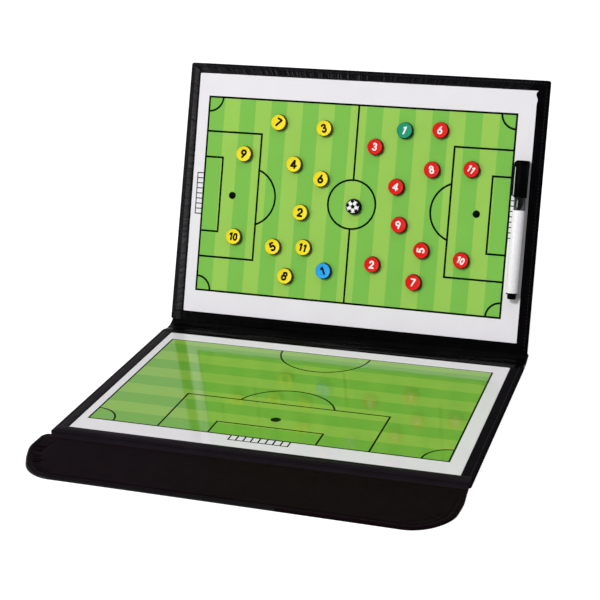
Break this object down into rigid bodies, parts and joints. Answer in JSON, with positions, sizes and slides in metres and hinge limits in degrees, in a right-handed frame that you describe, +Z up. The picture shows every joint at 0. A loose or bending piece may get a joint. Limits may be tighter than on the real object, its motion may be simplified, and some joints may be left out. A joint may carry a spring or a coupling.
{
  "type": "tactics board",
  "caption": "Folding leather tactics board with two printed magnetic pitch boards, a soft spine, a closing flap, magnetic player tokens, a ball token and a capped marker.",
  "frame": {"origin": "middle of the base panel's underside, on the surface that the open board lies on", "axes": "+X along the folds to the right of a coach reading the lid, +Y from the closing flap towards the lid, +Z up"},
  "size_m": [0.3188, 0.384, 0.2242],
  "materials": {
    "black_leather": "satin",
    "grey_board": "matte",
    "printed_steel": "gloss",
    "ferrite": "matte",
    "white_plastic": "gloss",
    "black_plastic": "gloss",
    "felt": "matte",
    "yellow_plastic": "gloss",
    "blue_plastic": "gloss",
    "red_plastic": "gloss",
    "green_plastic": "gloss",
    "ball_print": "gloss"
  },
  "bodies": {
    "base": {"base_cover": "black_leather", "base_core": "grey_board", "base_board": "printed_steel"},
    "spine": {"spine_cover": "black_leather"},
    "lid": {"lid_cover": "black_leather", "lid_core": "grey_board", "lid_board": "printed_steel"},
    "flap_wall": {"flap_wall": "black_leather"},
    "flap_tongue": {"flap_tongue": "black_leather", "flap_magnets": "ferrite"},
    "pen": {"pen_barrel": "white_plastic", "pen_fittings": "black_plastic", "pen_wick": "felt"},
    "pen_cap": {"pen_cap": "black_plastic", "cap_magnet": "ferrite"},
    "ball": {"ball_token": "ball_print"},
    "yellow_02": {"yellow_02_shell": "yellow_plastic", "yellow_02_magnet": "ferrite"},
    "yellow_03": {"yellow_03_shell": "yellow_plastic", "yellow_03_magnet": "ferrite"},
    "yellow_04": {"yellow_04_shell": "yellow_plastic", "yellow_04_magnet": "ferrite"},
    "yellow_05": {"yellow_05_shell": "yellow_plastic", "yellow_05_magnet": "ferrite"},
    "yellow_06": {"yellow_06_shell": "yellow_plastic", "yellow_06_magnet": "ferrite"},
    "yellow_07": {"yellow_07_shell": "yellow_plastic", "yellow_07_magnet": "ferrite"},
    "yellow_08": {"yellow_08_shell": "yellow_plastic", "yellow_08_magnet": "ferrite"},
    "yellow_09": {"yellow_09_shell": "yellow_plastic", "yellow_09_magnet": "ferrite"},
    "yellow_10": {"yellow_10_shell": "yellow_plastic", "yellow_10_magnet": "ferrite"},
    "yellow_11": {"yellow_11_shell": "yellow_plastic", "yellow_11_magnet": "ferrite"},
    "blue_01": {"blue_01_shell": "blue_plastic", "blue_01_magnet": "ferrite"},
    "red_02": {"red_02_shell": "red_plastic", "red_02_magnet": "ferrite"},
    "red_03": {"red_03_shell": "red_plastic", "red_03_magnet": "ferrite"},
    "red_04": {"red_04_shell": "red_plastic", "red_04_magnet": "ferrite"},
    "red_05": {"red_05_shell": "red_plastic", "red_05_magnet": "ferrite"},
    "red_06": {"red_06_shell": "red_plastic", "red_06_magnet": "ferrite"},
    "red_07": {"red_07_shell": "red_plastic", "red_07_magnet": "ferrite"},
    "red_08": {"red_08_shell": "red_plastic", "red_08_magnet": "ferrite"},
    "red_09": {"red_09_shell": "red_plastic", "red_09_magnet": "ferrite"},
    "red_10": {"red_10_shell": "red_plastic", "red_10_magnet": "ferrite"},
    "red_11": {"red_11_shell": "red_plastic", "red_11_magnet": "ferrite"},
    "green_01": {"green_01_shell": "green_plastic", "green_01_magnet": "ferrite"}
  },
  "joints": [
    {"name": "back_fold", "type": "hinge", "parent": "base", "child": "spine", "pos_m": [0, 0.1146, 0.0008], "axis": [-1, 0, 0], "range_deg": [-80, 10]},
    {"name": "cover_fold", "type": "hinge", "parent": "spine", "child": "lid", "pos_m": [0, 0.13627, 0.00462], "axis": [-1, 0, 0], "range_deg": [-26.5, 63.5]},
    {"name": "flap_wall_fold", "type": "hinge", "parent": "base", "child": "flap_wall", "pos_m": [0, -0.1156, 0.0008], "axis": [1, 0, 0], "range_deg": [-90, 0]},
    {"name": "flap_tongue_fold", "type": "hinge", "parent": "flap_wall", "child": "flap_tongue", "pos_m": [0, -0.1405, 0.0008], "axis": [1, 0, 0], "range_deg": [-90, 0]},
    {"name": "pen_lift", "type": "slide", "parent": "lid", "child": "pen", "axis": [0, -0.9588, 0.284], "range_m": [0, 0.04]},
    {"name": "cap_pull", "type": "slide", "parent": "pen", "child": "pen_cap", "axis": [0, 0.284, 0.9588], "range_m": [0, 0.03]},
    {"name": "ball_lift", "type": "slide", "parent": "lid", "child": "ball", "axis": [0, -0.9588, 0.284], "range_m": [0, 0.04]},
    {"name": "token_yellow_02_lift", "type": "slide", "parent": "lid", "child": "yellow_02", "axis": [0, -0.9588, 0.284], "range_m": [0, 0.04]},
    {"name": "token_yellow_03_lift", "type": "slide", "parent": "lid", "child": "yellow_03", "axis": [0, -0.9588, 0.284], "range_m": [0, 0.04]},
    {"name": "token_yellow_04_lift", "type": "slide", "parent": "lid", "child": "yellow_04", "axis": [0, -0.9588, 0.284], "range_m": [0, 0.04]},
    {"name": "token_yellow_05_lift", "type": "slide", "parent": "lid", "child": "yellow_05", "axis": [0, -0.9588, 0.284], "range_m": [0, 0.04]},
    {"name": "token_yellow_06_lift", "type": "slide", "parent": "lid", "child": "yellow_06", "axis": [0, -0.9588, 0.284], "range_m": [0, 0.04]},
    {"name": "token_yellow_07_lift", "type": "slide", "parent": "lid", "child": "yellow_07", "axis": [0, -0.9588, 0.284], "range_m": [0, 0.04]},
    {"name": "token_yellow_08_lift", "type": "slide", "parent": "lid", "child": "yellow_08", "axis": [0, -0.9588, 0.284], "range_m": [0, 0.04]},
    {"name": "token_yellow_09_lift", "type": "slide", "parent": "lid", "child": "yellow_09", "axis": [0, -0.9588, 0.284], "range_m": [0, 0.04]},
    {"name": "token_yellow_10_lift", "type": "slide", "parent": "lid", "child": "yellow_10", "axis": [0, -0.9588, 0.284], "range_m": [0, 0.04]},
    {"name": "token_yellow_11_lift", "type": "slide", "parent": "lid", "child": "yellow_11", "axis": [0, -0.9588, 0.284], "range_m": [0, 0.04]},
    {"name": "token_blue_01_lift", "type": "slide", "parent": "lid", "child": "blue_01", "axis": [0, -0.9588, 0.284], "range_m": [0, 0.04]},
    {"name": "token_red_02_lift", "type": "slide", "parent": "lid", "child": "red_02", "axis": [0, -0.9588, 0.284], "range_m": [0, 0.04]},
    {"name": "token_red_03_lift", "type": "slide", "parent": "lid", "child": "red_03", "axis": [0, -0.9588, 0.284], "range_m": [0, 0.04]},
    {"name": "token_red_04_lift", "type": "slide", "parent": "lid", "child": "red_04", "axis": [0, -0.9588, 0.284], "range_m": [0, 0.04]},
    {"name": "token_red_05_lift", "type": "slide", "parent": "lid", "child": "red_05", "axis": [0, -0.9588, 0.284], "range_m": [0, 0.04]},
    {"name": "token_red_06_lift", "type": "slide", "parent": "lid", "child": "red_06", "axis": [0, -0.9588, 0.284], "range_m": [0, 0.04]},
    {"name": "token_red_07_lift", "type": "slide", "parent": "lid", "child": "red_07", "axis": [0, -0.9588, 0.284], "range_m": [0, 0.04]},
    {"name": "token_red_08_lift", "type": "slide", "parent": "lid", "child": "red_08", "axis": [0, -0.9588, 0.284], "range_m": [0, 0.04]},
    {"name": "token_red_09_lift", "type": "slide", "parent": "lid", "child": "red_09", "axis": [0, -0.9588, 0.284], "range_m": [0, 0.04]},
    {"name": "token_red_10_lift", "type": "slide", "parent": "lid", "child": "red_10", "axis": [0, -0.9588, 0.284], "range_m": [0, 0.04]},
    {"name": "token_red_11_lift", "type": "slide", "parent": "lid", "child": "red_11", "axis": [0, -0.9588, 0.284], "range_m": [0, 0.04]},
    {"name": "token_green_01_lift", "type": "slide", "parent": "lid", "child": "green_01", "axis": [0, -0.9588, 0.284], "range_m": [0, 0.04]}
  ]
}
